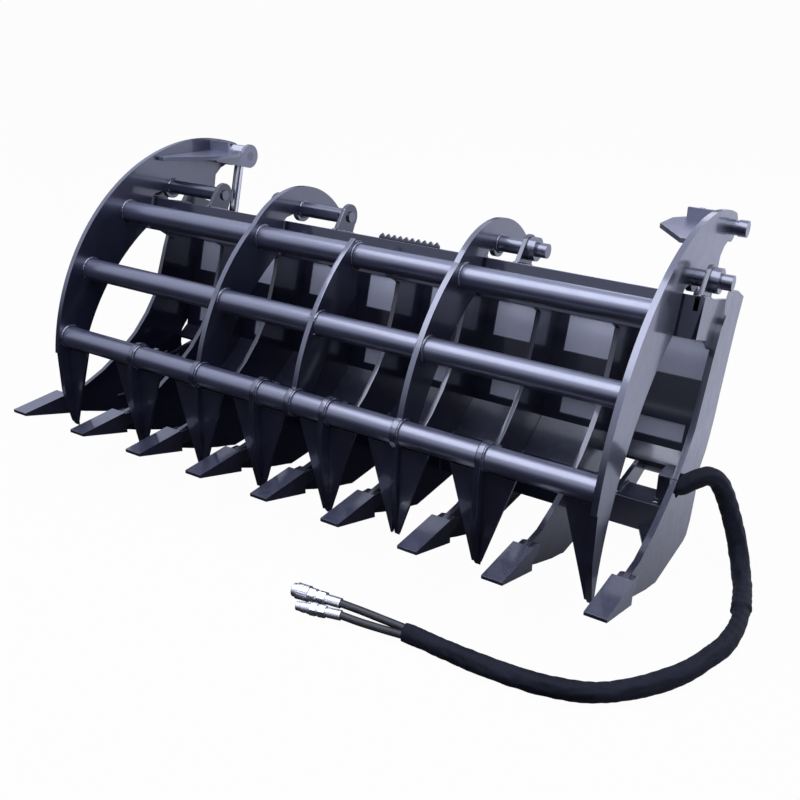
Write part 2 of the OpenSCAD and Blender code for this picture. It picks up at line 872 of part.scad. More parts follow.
module hook_pins() {
    collar = 16;
    head = 22;
    collar_r = pin_d / 2 + 5;
    head_r = pin_d / 2 + 7;
    color(paint_light)
        for (side = [-1, 1]) {
            cross_rod(side * (bracket_ear_x - bracket_t / 2), side * clamp_end_outer, hook,
                      pin_d / 2);
            cross_rod(side * clamp_end_outer, side * (clamp_end_outer + collar), hook,
                      collar_r);
            cross_rod(side * (clamp_end_outer + collar),
                      side * (clamp_end_outer + collar + head), hook, head_r);
        }
}

// Puts a cylinder part, drawn upwards from its base pin, in its place
module on_cylinder(side) {
    translate([side * cylinder_x, cylinder_base[0] - centre_y, cylinder_base[1]])
        rotate([-rod_lean, 0, 0])
            children();
}

module cross_tube(width, outer, bore, z) {
    translate([-width / 2, 0, z])
        rotate([0, 90, 0])
            difference() {
                cylinder(h = width, d = outer);
                translate([0, 0, -1])
                    cylinder(h = width + 2, d = bore);
            }
}

base_solid = 58;

module barrel(side) {
    eye_w = lug_gap - 2 * side_gap;
    port_d = 24;
    port_h = 16;
    color(paint)
        on_cylinder(side) {
            difference() {
                union() {
                    cylinder(h = barrel_len, d = barrel_d);
                    translate([-eye_w / 2, 0, 0])
                        rotate([0, 90, 0])
                            cylinder(h = eye_w, d = base_eye_d);
                }
                translate([0, 0, base_solid])
                    cylinder(h = barrel_len, d = barrel_bore);
                translate([-eye_w, 0, 0])
                    rotate([0, 90, 0])
                        cylinder(h = 2 * eye_w, d = pin_d + 2 * running);
            }
            for (z = [base_solid + 14, barrel_len - port_d])
                translate([0, barrel_d / 2 - 2, z])
                    rotate([-90, 0, 0])
                        difference() {
                            cylinder(h = port_h, d = port_d);
                            translate([0, 0, port_h / 4])
                                cylinder(h = port_h, d = port_d / 2);
                        }
        }
}

module gland(side) {
    color(paint_light)
        on_cylinder(side)
            translate([0, 0, barrel_len])
                difference() {
                    cylinder(h = gland_len, d = gland_d);
                    translate([0, 0, -1])
                        cylinder(h = gland_len + 2, d = rod_d + 2 * running);
                }
}

// Rod with its piston inside the barrel and its eye at the hook pin
module rod(side) {
    piston_len = 30;
    piston_top = barrel_len - 12;
    color(chrome)
        on_cylinder(side) {
            translate([0, 0, piston_top - piston_len])
                cylinder(h = piston_len, d = barrel_bore - 2 * running);
            difference() {
                translate([0, 0, piston_top])
                    cylinder(h = rod_reach - piston_top, d = rod_d);
                translate([-rod_eye_w, 0, rod_reach])
                    rotate([0, 90, 0])
                        cylinder(h = 2 * rod_eye_w, d = (rod_eye_d + rod_eye_bore) / 2);
            }
            cross_tube(rod_eye_w, rod_eye_d, rod_eye_bore, rod_reach);
        }
}

// Sweep of a round section along a list of points
function unit(v) = v / norm(v);
function route_tangent(p, i) = unit(p[min(i + 1, len(p) - 1)] - p[max(i - 1, 0)]);
function route_normal(p, i) =
    let (t = route_tangent(p, i), n = i == 0 ? [0, 0, 1] : route_normal(p, i - 1))
    unit(n - (n * t) * t);
function route_ring(p, i, r, sides) =
    let (t = route_tangent(p, i), n = route_normal(p, i), b = cross(t, n))
    [for (k = [0:sides - 1]) p[i] + r * (cos(360 * k / sides) * n + sin(360 * k / sides) * b)];

module route_tube(p, r, sides) {
    count = len(p);
    rings = [for (i = [0:count - 1]) each route_ring(p, i, r, sides)];
    walls = [for (i = [0:count - 2], k = [0:sides - 1])
        let (a = i * sides + k, b = i * sides + (k + 1) % sides)
        [a, a + sides, b + sides, b]];
    ends = [[for (k = [0:sides - 1]) k],
            [for (k = [sides - 1:-1:0]) (count - 1) * sides + k]];
    translate([overall_w / 2, -centre_y, 0])
        polyhedron(points = rings, faces = concat(walls, ends), convexity = 8);
}

module hose_sleeve() {
    color(cloth)
        route_tube(sleeve_route, hose_sleeve_d / 2, 12);
}

module hose(route) {
    color(rubber)
        route_tube(route, hose_d / 2, 12);
}

// Quick coupler: ferrule, hexagon, knurled collar and nose, turned about its own axis
module coupler(from, to, r) {
    way = to - from;
    reach = norm(way);
    color(zinc)
        translate([overall_w / 2 + from[0], from[1] - centre_y, from[2]])
            rotate([0, 90, atan2(way[1], way[0])])
                rotate_extrude()
                    polygon([
                        [0, 0], [0.62 * r, 0], [0.62 * r, 0.30 * reach], [0.85 * r, 0.31 * reach],
                        [0.85 * r, 0.46 * reach], [0.70 * r, 0.47 * reach],
                        [0.70 * r, 0.52 * reach], [r, 0.54 * reach], [r, 0.86 * reach],
                        [0.78 * r, 0.88 * reach], [0.78 * r, reach], [0, reach]
                    ]);
}

for (i = [1:9])
    tine(i);
for (i = [1:9])
    tooth(i);
top_beam();
lower_beam();
back_sheet();
window_frame();
ledge();
quick_attach_plate();
step_strip();
pivot_ears();
pivot_pins();
end_gussets();
cylinder_lugs();
base_pins();
corner_gussets();
hose_block();
for (i = [1:5])
    clamp_plate(i);
clamp_tube(tube_bottom);  // clamp_tube_bottom
clamp_tube(tube_middle);  // clamp_tube_middle
clamp_tube(tube_top);  // clamp_tube_top
for (i = [1:4])
    claw_web(i);
claw_wings();
pivot_sleeves();
hook_bracket(-1);  // hook_bracket_left
hook_bracket(1);  // hook_bracket_right
hook_pins();
barrel(-1);  // barrel_left
barrel(1);  // barrel_right
gland(-1);  // gland_left
gland(1);  // gland_right
rod(-1);  // rod_left
rod(1);  // rod_right
hose_sleeve();
hose(hose_upper_route);  // hose_upper
hose(hose_lower_route);  // hose_lower
coupler(hose_upper_route[3], coupler_upper_tip, 20);  // coupler_upper
coupler(hose_lower_route[3], coupler_lower_tip, 17);  // coupler_lower
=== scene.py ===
"""Looks of the grass fork grapple: paint, welds, sleeve, hoses, couplers and small fittings."""

import math

import bmesh
import bpy
import numpy as np
from mathutils import Euler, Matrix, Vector, noise


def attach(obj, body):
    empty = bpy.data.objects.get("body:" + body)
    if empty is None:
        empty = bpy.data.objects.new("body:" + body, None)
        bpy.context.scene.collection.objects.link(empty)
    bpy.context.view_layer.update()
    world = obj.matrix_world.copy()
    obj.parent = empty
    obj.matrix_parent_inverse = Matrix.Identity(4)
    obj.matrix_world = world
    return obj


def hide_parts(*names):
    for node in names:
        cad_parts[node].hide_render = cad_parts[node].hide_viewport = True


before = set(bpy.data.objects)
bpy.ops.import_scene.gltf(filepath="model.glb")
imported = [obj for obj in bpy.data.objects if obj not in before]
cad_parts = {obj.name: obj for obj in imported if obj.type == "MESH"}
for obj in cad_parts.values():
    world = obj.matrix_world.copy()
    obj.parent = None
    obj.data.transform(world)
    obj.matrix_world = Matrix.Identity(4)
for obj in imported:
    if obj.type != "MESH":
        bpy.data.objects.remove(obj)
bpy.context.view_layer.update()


scene = bpy.context.scene

# Side view places of the CAD source, y and z in millimetres
MM = 0.001
CENTRE_Y = 308.0
HINGE = (468, 708)
HINGE_SLEEVE_R = 21
BEAM_CENTRE = (414, 628)
BEAM_HALF = 50
BEAM_TILT = math.radians(20)
EAR_FRONT = 16
LOW_BEAM_FRONT, LOW_BEAM_REAR = 345, 425
LOW_BEAM_BOTTOM, LOW_BEAM_TOP = 55, 140
LUG_FRONT = 357
LUG_BOTTOM = 76
TUBES = {"bottom": (-14, 358), "middle": (100, 536), "top": (275.5, 671)}
TUBE_R = 31.75

# Places and plate thicknesses across the part, x in millimetres
CLAMP_END = 842
CLAMP_PLATES = (-CLAMP_END, -321.5, 0, 321.5, CLAMP_END)
CLAMP_T = 15
CLAWS = (-552.5, -110.5, 110.5, 552.5)
TINES = (-907, -663, -442, -221, 0, 221, 442, 663, 907)
TINE_T = 15
END_TINE_FACE = TINES[-1] - TINE_T / 2
LUG_PAIR_X = 800
LUG_INNER = 46
LUG_T = 12
EAR_T = 12
EAR_GAP = 0.5

# Hinge stations: the middle of each sleeve and its length
STATIONS = ((-755, 241), (-283, 241), (345.5, 116), (847, 57))


def place(x, y, z):
    """A point of the side views, in millimetres, as a point of the row frame in metres."""
    return Vector((x, y - CENTRE_Y, z)) * MM


def beam_point(u, v):
    """A point of the tilted top beam's section, as y and z of the side views."""
    c, s = math.cos(BEAM_TILT), math.sin(BEAM_TILT)
    return (BEAM_CENTRE[0] + u * c + v * s, BEAM_CENTRE[1] - u * s + v * c)


# Camera at the photograph's place
CAMERA_PLACE = (1462.8, -1831.9, 1475.6)
CAMERA_DOWN = 25.65
CAMERA_TURN = 32.15
camera_data = bpy.data.cameras.new("camera")
camera_data.sensor_width = 36
camera_data.lens = 45.07
camera = bpy.data.objects.new("camera", camera_data)
scene.collection.objects.link(camera)
camera.location = place(*CAMERA_PLACE)
camera.rotation_euler = Euler((math.radians(90 - CAMERA_DOWN), 0, math.radians(CAMERA_TURN)))
scene.camera = camera


class Graph:
    """Short calls that add nodes to one material or world."""

    def __init__(self, owner):
        owner.use_nodes = True
        self.tree = owner.node_tree
        self.tree.nodes.clear()

    def add(self, kind, settings=None, **inputs):
        node = self.tree.nodes.new("ShaderNode" + kind)
        for key, value in (settings or {}).items():
            setattr(node, key, value)
        for key, value in inputs.items():
            self.put(node, key.replace("_", " "), value)
        return node

    def put(self, node, key, value):
        socket = node.inputs[int(key)] if key.isdigit() else node.inputs[key]
        if isinstance(value, bpy.types.NodeSocket):
            self.tree.links.new(value, socket)
        else:
            socket.default_value = value

    def noise(self, vector, scale, detail=2.0, rough=0.5):
        made = self.add("TexNoise", Vector=vector, Scale=scale, Detail=detail, Roughness=rough)
        return made.outputs["Fac"]

    def mapped(self, value, low, high, to_low, to_high):
        node = self.add("MapRange", Value=value)
        ends = {"From Min": low, "From Max": high, "To Min": to_low, "To Max": to_high}
        for key, number in ends.items():
            node.inputs[key].default_value = number
        return node.outputs[0]

    def math(self, kind, a, b):
        node = self.add("Math", {"operation": kind})
        self.put(node, "0", a)
        self.put(node, "1", b)
        return node.outputs[0]

    def blend(self, factor, a, b):
        node = self.add("Mix", {"data_type": "RGBA"})
        self.put(node, "0", factor)
        for index, colour in ((6, a), (7, b)):
            if isinstance(colour, bpy.types.NodeSocket):
                self.tree.links.new(colour, node.inputs[index])
            else:
                node.inputs[index].default_value = (*colour, 1)
        return node.outputs[2]

    def bump(self, height, distance, strength=1.0, normal=None):
        node = self.add("Bump", Strength=strength, Distance=distance, Height=height)
        if normal is not None:
            self.put(node, "Normal", normal)
        return node.outputs[0]

    def rays(self):
        """Whether a ray comes from the camera, and whether it comes off or through a surface."""
        kinds = self.add("LightPath").outputs
        mirror = self.math("MAXIMUM", kinds["Is Glossy Ray"], kinds["Is Transmission Ray"])
        return kinds["Is Camera Ray"], mirror

    def mix_to(self, output, share, plain, glow):
        """Ends the graph in a mix of two shaders."""
        node = self.add("MixShader")
        self.put(node, "0", share)
        self.put(node, "1", plain.outputs[0])
        self.put(node, "2", glow.outputs[0])
        self.put(self.add(output), "Surface", node.outputs[0])


def surface(name, shader_inputs, build):
    """A material with one principled shader; build(graph) returns its linked inputs."""
    material = bpy.data.materials.new(name)
    graph = Graph(material)
    linked = build(graph)
    shader = graph.add("BsdfPrincipled")
    for key, value in {**shader_inputs, **linked}.items():
        graph.put(shader, key, value)
    output = graph.add("OutputMaterial")
    graph.put(output, "Surface", shader.outputs[0])
    return material


DUST = (0.11, 0.115, 0.15)
SCUFFED = (0.22, 0.22, 0.26)
GLOSS_TINT = (0.86, 0.88, 1.0, 1)
COAT_TINT = (0.9, 0.92, 1.0, 1)


def paint(name, deep, pale, rough=(0.30, 0.42), peel=0.00006, worn=0.0, clear=0.10, ior=2.1):
    """Sprayed enamel: slow colour drift, orange peel, faint dust on level faces, a clear coat."""

    def build(graph):
        where = graph.add("TexCoord").outputs["Object"]
        drift = graph.noise(where, 5.5, 4, 0.55)
        colour = graph.blend(graph.mapped(drift, 0.3, 0.7, 0, 1), deep, pale)
        normal = graph.add("NewGeometry").outputs["Normal"]
        up = graph.add("SeparateXYZ", Vector=normal).outputs["Z"]
        level = graph.mapped(up, 0.6, 1.0, 0, 1)
        patches = graph.mapped(graph.noise(where, 38, 6, 0.65), 0.45, 0.75, 0, 0.22)
        colour = graph.blend(graph.math("MULTIPLY", level, patches), colour, DUST)
        if worn:
            scuff = graph.mapped(graph.noise(where, 95, 8, 0.7), 0.60, 0.68, 0, worn)
            colour = graph.blend(scuff, colour, SCUFFED)
        smear = graph.noise(where, 24, 7, 0.62)
        roughness = graph.mapped(smear, 0.3, 0.72, rough[0], rough[1])
        flow = graph.bump(graph.noise(where, 9, 2), 0.0012, 0.3)
        skin = graph.bump(graph.noise(where, 420, 3, 0.6), peel, 0.8, flow)
        return {"Base Color": colour, "Roughness": roughness, "Normal": skin}

    fixed = {
        "IOR": ior,
        "Specular Tint": GLOSS_TINT,
        "Coat Weight": 0.8,
        "Coat IOR": 1.8,
        "Coat Roughness": clear,
        "Coat Tint": COAT_TINT,
    }
    return surface(name, fixed, build)


def bare_metal(name, colour_a, colour_b, rough, line_scale):
    """Bright metal with fine turning lines and cloudy patches."""

    def build(graph):
        where = graph.add("TexCoord").outputs["Object"]
        fine = graph.noise(where, line_scale, 3, 0.6)
        cloud = graph.noise(where, 30, 4, 0.6)
        return {
            "Base Color": graph.blend(graph.mapped(cloud, 0.35, 0.65, 0, 1), colour_a, colour_b),
            "Roughness": graph.mapped(cloud, 0.3, 0.7, rough[0], rough[1]),
            "Normal": graph.bump(fine, 0.00002, 0.7),
        }

    return surface(name, {"Metallic": 1.0}, build)


def woven(graph, pitch):
    """Height of a plain weave over the tube's own surface coordinates, in metres."""
    uv = graph.add("UVMap", {"uv_map": "surface"}).outputs[0]
    axes = graph.add("SeparateXYZ", Vector=uv)
    waves = []
    for output in ("X", "Y"):
        turns = graph.math("MULTIPLY", axes.outputs[output], math.tau / pitch)
        waves.append(graph.math("SINE", turns, 0.0))
    return graph.math("MULTIPLY", waves[0], waves[1])


def sleeve_cloth():
    deep, pale, fuzz = (0.006, 0.007, 0.014), (0.017, 0.019, 0.034), (0.034, 0.037, 0.058)

    def build(graph):
        weave = woven(graph, 0.0034)
        where = graph.add("TexCoord").outputs["Object"]
        cloud = graph.noise(where, 16, 6, 0.62)
        colour = graph.blend(graph.mapped(cloud, 0.35, 0.68, 0, 1), deep, pale)
        fluff = graph.mapped(graph.noise(where, 150, 5, 0.7), 0.55, 0.8, 0, 0.35)
        crumple = graph.bump(graph.noise(where, 70, 5, 0.62), 0.0016, 0.6)
        return {
            "Base Color": graph.blend(fluff, colour, fuzz),
            "Roughness": graph.mapped(cloud, 0.3, 0.7, 0.5, 0.72),
            "Normal": graph.bump(weave, 0.00035, 0.7, crumple),
        }

    fixed = {"Sheen Weight": 0.04, "Sheen Roughness": 0.4, "IOR": 1.25}
    return surface("sleeve_cloth", fixed, build)


def hose_rubber():
    deep, pale = (0.022, 0.022, 0.027), (0.052, 0.053, 0.062)

    def build(graph):
        weave = woven(graph, 0.0046)
        where = graph.add("TexCoord").outputs["Object"]
        cloud = graph.noise(where, 45, 5, 0.6)
        return {
            "Base Color": graph.blend(graph.mapped(cloud, 0.3, 0.7, 0, 1), deep, pale),
            "Roughness": graph.mapped(cloud, 0.3, 0.7, 0.32, 0.5),
            "Normal": graph.bump(weave, 0.00018, 0.6),
        }

    return surface("hose_rubber", {}, build)


FRAME_PAINT = paint("frame_paint", (0.0055, 0.0065, 0.019), (0.009, 0.010, 0.027), ior=1.55)
# Clamp tubes: a lighter copy of the same dark navy enamel, painted light standing in for the light
# band the tubes catch
TUBE_PAINTED_LIGHT = paint(
    "tube_painted_light", (0.026, 0.028, 0.050), (0.042, 0.044, 0.074), (0.34, 0.46), clear=0.22, ior=2.4
)
# Hook brackets: a much lighter copy of the same dark navy enamel, painted light so these plates
# read as lit
BRACKET_PAINTED_LIGHT = paint("bracket_painted_light", (0.13, 0.135, 0.18), (0.18, 0.185, 0.235), (0.36, 0.46))
CLAMP_PAINT = paint("clamp_paint", (0.0085, 0.0095, 0.022), (0.013, 0.014, 0.032), (0.28, 0.40))
# Back sheet: a near-white copy of the same dark navy enamel, painted light and reflection so the
# panels between the tines read as lit grey
SHEET_PAINTED_LIGHT = paint("sheet_painted_light", (0.64, 0.65, 0.75), (0.74, 0.75, 0.84), (0.42, 0.55))
TOOTH_PAINT = paint(
    "tooth_paint", (0.016, 0.017, 0.034), (0.026, 0.027, 0.048), (0.30, 0.46), 0.0001, worn=0.25
)
WELD_PAINT = paint(
    "weld_paint", (0.016, 0.017, 0.034), (0.030, 0.031, 0.055), (0.22, 0.34), 0.00014
)
PIN_PAINT = paint(
    "pin_paint", (0.012, 0.013, 0.026), (0.022, 0.023, 0.04), (0.24, 0.36), 0.00008, worn=0.3
)
CHROME = bare_metal("rod_chrome", (0.82, 0.82, 0.85), (0.70, 0.70, 0.74), (0.07, 0.16), 900)
ZINC = bare_metal("coupler_zinc", (0.90, 0.90, 0.93), (0.78, 0.78, 0.83), (0.34, 0.48), 1300)
CLOTH = sleeve_cloth()
RUBBER = hose_rubber()


def link_mesh(name, vertices, faces, material, body, sharp, uv=None):
    """A mesh piece that rides on a body, smooth except at edges sharper than the angle."""
    mesh = bpy.data.meshes.new(name)
    mesh.from_pydata([tuple(v) for v in vertices], [], faces)
    mesh.validate()
    work = bmesh.new()
    work.from_mesh(mesh)
    bmesh.ops.recalc_face_normals(work, faces=work.faces)
    limit = math.radians(sharp)
    for face in work.faces:
        face.smooth = True
    for edge in work.edges:
        edge.smooth = len(edge.link_faces) == 2 and edge.calc_face_angle(0) < limit
    if uv is not None:
        layer = work.loops.layers.uv.new("surface")
        width = uv[-1][0] + uv[1][0] - uv[0][0]
        for face in work.faces:
            turns = [uv[loop.vert.index] for loop in face.loops]
            wide = max(t[0] for t in turns) - min(t[0] for t in turns)
            for loop, (u, v) in zip(face.loops, turns):
                wraps = wide > width / 2 and u < width / 2
                loop[layer].uv = (u + (width if wraps else 0), v)
    work.to_mesh(mesh)
    work.free()
    mesh.materials.append(material)
    piece = bpy.data.objects.new(name, mesh)
    scene.collection.objects.link(piece)
    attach(piece, body)
    return piece


def reach_along(line):
    """Distance from the first point to each point, along the line."""
    return np.concatenate(([0], np.cumsum(np.linalg.norm(np.diff(line, axis=0), axis=1))))


def even_points(line, reach, count):
    """The line in equal steps, and the distance to each new point."""
    wanted = np.linspace(0, reach[-1], count + 1)
    even = np.stack([np.interp(wanted, reach, line[:, k]) for k in range(3)], axis=1)
    return even, wanted


def smooth_route(knots, step):
    """Points every step metres on a smooth curve through the knots."""
    knots = [np.array(place(*k)) for k in knots]
    padded = [2 * knots[0] - knots[1], *knots, 2 * knots[-1] - knots[-2]]
    dense = []
    for a, b, c, d in zip(padded, padded[1:], padded[2:], padded[3:]):
        for t in np.linspace(0, 1, 24, endpoint=False):
            square = 2 * b + (c - a) * t + (2 * a - 5 * b + 4 * c - d) * t * t
            dense.append(0.5 * (square + (3 * b - a - 3 * c + d) * t**3))
    dense.append(knots[-1])
    dense = np.array(dense)
    reach = reach_along(dense)
    even, wanted = even_points(dense, reach, int(round(reach[-1] / step)))
    return even, wanted, float(reach[-1])


def frames_along(points):
    """Tangent, normal and side at each point, without twist; the first normal is near up."""
    points = np.asarray(points, float)
    tangents = np.gradient(points, axis=0)
    tangents /= np.linalg.norm(tangents, axis=1)[:, None]
    normal = np.array((0.0, 0.0, 1.0))
    normals = []
    for tangent in tangents:
        normal = normal - (normal @ tangent) * tangent
        normal /= np.linalg.norm(normal)
        normals.append(normal)
    normals = np.array(normals)
    return tangents, normals, np.cross(tangents, normals)


def ring_point(centre, r, a, up, side):
    return centre + r * (math.cos(a) * up + math.sin(a) * side)


def ring_faces(rings, sides, closed=False):
    """Quads between rings of vertices, each ring with the same number of sides."""
    faces = []
    for i in range(rings - (0 if closed else 1)):
        a, b = i * sides, ((i + 1) % rings) * sides
        for k in range(sides):
            n = (k + 1) % sides
            faces.append((a + k, a + n, b + n, b + k))
    return faces


def end_caps(first, last, sides):
    """Faces that close a tube, whose end rings start at the vertices first and last."""
    return [tuple(range(first, first + sides)), tuple(range(last + sides - 1, last - 1, -1))]


def wave(x, y, z):
    return noise.noise(Vector((x, y, z)))


# Fabric sleeve, hoses and couplers, as the cords of this object
SLEEVE_ROUTE = (
    (END_TINE_FACE, 322, 228), (918, 322, 229), (938, 329, 243), (957, 338.5, 254.5),
    (976, 350, 259), (993, 360, 248), (1008, 368, 223), (1022, 374, 190), (1036, 377, 153),
    (1050, 378, 115), (1064, 373, 77), (1078, 356, 47), (1094, 322, 28), (1110, 276, 24),
    (1124, 215, 24), (1136, 150, 24), (1138, 92, 24), (1131, 34, 24), (1111, -25, 24),
    (1085, -88, 24), (1048, -148, 24), (1004, -200, 24), (957, -240, 24), (901, -268, 24),
    (840, -285, 24), (774, -294, 24), (700, -297, 24), (630, -295, 24), (565, -292, 24),
    (509, -292, 24),
)
UPPER_ROUTE = ((509, -280, 24), (450, -278, 22), (385, -277, 21), (323, -279, 21))
LOWER_ROUTE = ((509, -303, 24), (455, -306, 20), (400, -310, 18), (347, -313, 18))
UPPER_TIP = (193, -295, 21)
LOWER_TIP = (236, -338, 18)
SLEEVE_D = 0.046
HOSE_D = 0.019
SLEEVE_STEP = 0.0045
HOSE_STEP = 0.004
SLEEVE_SIDES = 40
HOSE_SIDES = 28
TURNED_SIDES = 72

# The sleeve's cloth: mean, least and greatest radius in mm, and where its outer layer ends
CLOTH_MEAN_R, CLOTH_LEAST_R, CLOTH_MOST_R = 21.7, 16.5, 25.2
CLOTH_HEM = (1130, 186, 24)

# Rings of the sleeve's mouth: texture step and place along it in metres, share of the radius
MOUTH_RINGS = ((0.002, 0.001, 0.93), (0.004, 0.0, 0.86), (-0.014, -0.014, 0.84))
MOUTH_FLOOR = 0.002


def cloth_radius(s, a, hem_at):
    """Radius in mm of crumpled cloth: slanting gathers, long folds, creases and a hem."""
    x, y = math.cos(a), math.sin(a)
    slack = 0.5 + 0.5 * wave(s * 4.5, 3.1, 0.4)
    slant = s * 92 + 1.9 * math.sin(a + s * 7) + 4.2 * wave(s * 5, 7.7, 1.3)
    gather = abs(math.sin(slant)) ** 0.65 - 0.55
    long_fold = wave(x * 1.7 + 4, y * 1.7, s * 9)
    crease = wave(x * 4.2, y * 4.2 + 9, s * 42)
    small = wave(x * 9, y * 9, s * 130)
    r = CLOTH_MEAN_R + 1.9 * slack * gather + 2.3 * long_fold + 1.3 * crease + 0.5 * small
    if s < hem_at:
        r += 1.1 + 1.3 * max(0.0, 1 - (hem_at - s) / 0.03)
    else:
        r -= 3.2 * max(0.0, 1 - (s - hem_at) / 0.16)
    return min(max(r, CLOTH_LEAST_R), CLOTH_MOST_R)


def make_sleeve():
    path, reach, length = smooth_route(SLEEVE_ROUTE, SLEEVE_STEP)
    tangents, normals, sides = frames_along(path)
    count = SLEEVE_SIDES
    turns = [math.tau * k / count for k in range(count)]
    hem = np.array(place(*CLOTH_HEM))
    hem_at = reach[int(np.argmin(np.linalg.norm(path - hem, axis=1)))]
    vertices, uv = [], []
    for i, (p, s) in enumerate(zip(path, reach)):
        for k, a in enumerate(turns):
            r = cloth_radius(s, a, hem_at) * MM
            q = p + r * (math.cos(a) * normals[i] + 1.03 * math.sin(a) * sides[i])
            q[2] = max(q[2], 0.0012 + 0.0006 * (1 + wave(q[0] * 90, q[1] * 90, 2)))
            vertices.append(q)
            uv.append((k / count * math.pi * SLEEVE_D, s))
    # Open mouth at the hoses' end: a rolled rim, then a dark hollow
    for step, along, scale in MOUTH_RINGS:
        for k, a in enumerate(turns):
            r = cloth_radius(reach[-1], a, hem_at) * MM * scale
            q = ring_point(path[-1] + tangents[-1] * along, r, a, normals[-1], sides[-1])
            q[2] = max(q[2], MOUTH_FLOOR)
            vertices.append(q)
            uv.append((k / count * math.pi * SLEEVE_D, reach[-1] + step))
    faces = ring_faces(len(path) + len(MOUTH_RINGS), count)
    faces += end_caps(0, len(vertices) - count, count)
    piece = link_mesh("fabric_sleeve", vertices, faces, CLOTH, "frame", 80, uv)
    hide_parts("hose_sleeve")
    return piece, path, length


def make_hose(name, knots, node):
    path, reach, length = smooth_route(knots, HOSE_STEP)
    normals, sides = frames_along(path)[1:]
    count = HOSE_SIDES
    vertices, uv = [], []
    for i, (p, s) in enumerate(zip(path, reach)):
        for k in range(count):
            a = math.tau * k / count
            r = HOSE_D / 2 * (1 + 0.012 * wave(math.cos(a) * 3, math.sin(a) * 3, s * 60))
            vertices.append(ring_point(p, r, a, normals[i], sides[i]))
            uv.append((k / count * math.pi * HOSE_D, s))
    faces = ring_faces(len(path), count) + end_caps(0, len(vertices) - count, count)
    piece = link_mesh(name, vertices, faces, RUBBER, "frame", 60, uv)
    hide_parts(node)
    return piece, path, length


def turned(name, start, end, profile):
    """A turned piece from start to end. Each profile row is a share of the length, a radius in mm
    and a form: round, six flats, or knurled."""
    start, end = np.array(start), np.array(end)
    length = np.linalg.norm(end - start)
    axis = (end - start) / length
    up = np.array((0.0, 0.0, 1.0))
    up = up - (up @ axis) * axis
    up /= np.linalg.norm(up)
    side = np.cross(axis, up)
    vertices = []
    for share, r, form in profile:
        centre = start + axis * share * length
        for k in range(TURNED_SIDES):
            a = math.tau * k / TURNED_SIDES
            radius = r
            if form == "hex":
                flat = r * math.cos(math.pi / 6) / math.cos((a % (math.pi / 3)) - math.pi / 6)
                radius = min(r * 0.975, flat)
            elif form == "knurl":
                radius = r * (1 + 0.018 * math.cos(24 * a))
            vertices.append(ring_point(centre, radius * MM, a, up, side))
    faces = ring_faces(len(profile), TURNED_SIDES)
    faces += end_caps(0, len(vertices) - TURNED_SIDES, TURNED_SIDES)
    return link_mesh(name, vertices, faces, ZINC, "frame", 30)


def make_couplers():
    """Female coupler with a broad collar, male nipple with a tapered nose, both with a ferrule."""
    crimp = [(0.0, 11.4, "round"), (0.004, 12.4, "round")]
    for k in range(5):
        at = 0.03 + 0.045 * k
        groove = ((0.0, 12.6), (0.006, 11.9), (0.022, 11.9), (0.028, 12.6))
        crimp += [(at + step, r, "round") for step, r in groove]
    female = crimp + [
        (0.270, 12.6, "round"), (0.275, 11.2, "round"), (0.300, 11.2, "round"),
        (0.303, 16.2, "hex"), (0.310, 17.2, "hex"), (0.455, 17.2, "hex"), (0.462, 16.2, "hex"),
        (0.465, 14.6, "round"), (0.505, 14.6, "round"), (0.508, 17.2, "hex"), (0.514, 18.2, "hex"),
        (0.632, 18.2, "hex"), (0.640, 17.0, "hex"), (0.643, 18.4, "round"), (0.650, 19.6, "round"),
        (0.668, 19.9, "round"), (0.675, 19.2, "knurl"), (0.850, 19.2, "knurl"),
        (0.858, 19.9, "round"), (0.900, 19.9, "round"), (0.910, 18.8, "round"),
        (0.915, 16.6, "round"), (0.975, 16.6, "round"), (0.985, 15.8, "round"),
        (0.985, 12.2, "round"), (0.930, 11.8, "round"), (0.930, 8.0, "round"),
        (0.950, 7.6, "round"), (0.950, 0.4, "round"),
    ]
    male = crimp + [
        (0.285, 12.6, "round"), (0.290, 10.8, "round"), (0.330, 10.8, "round"),
        (0.334, 15.4, "hex"), (0.342, 16.6, "hex"), (0.480, 16.6, "hex"), (0.488, 15.4, "hex"),
        (0.492, 13.2, "round"), (0.530, 13.2, "round"), (0.534, 16.2, "hex"), (0.541, 16.9, "hex"),
        (0.660, 16.9, "hex"), (0.668, 15.8, "hex"), (0.672, 14.6, "round"), (0.740, 13.6, "round"),
        (0.745, 12.4, "round"), (0.790, 12.4, "round"), (0.795, 13.4, "round"),
        (0.840, 13.4, "round"), (0.870, 12.8, "round"), (0.905, 11.6, "round"),
        (0.985, 11.2, "round"), (0.995, 10.4, "round"), (0.995, 7.6, "round"),
        (0.960, 7.4, "round"), (0.960, 0.4, "round"),
    ]
    made = []
    for name, route, tip, rows, node in (
        ("coupler_female", UPPER_ROUTE, UPPER_TIP, female, "coupler_upper"),
        ("coupler_male", LOWER_ROUTE, LOWER_TIP, male, "coupler_lower"),
    ):
        piece = turned(name, place(*route[-1]), place(*tip), rows)
        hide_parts(node)
        made.append(piece)
    return made


sleeve, sleeve_path, sleeve_length = make_sleeve()
upper, upper_path, upper_length = make_hose("hose_bare_upper", UPPER_ROUTE, "hose_upper")
lower, lower_path, lower_length = make_hose("hose_bare_lower", LOWER_ROUTE, "hose_lower")
female, male = make_couplers()


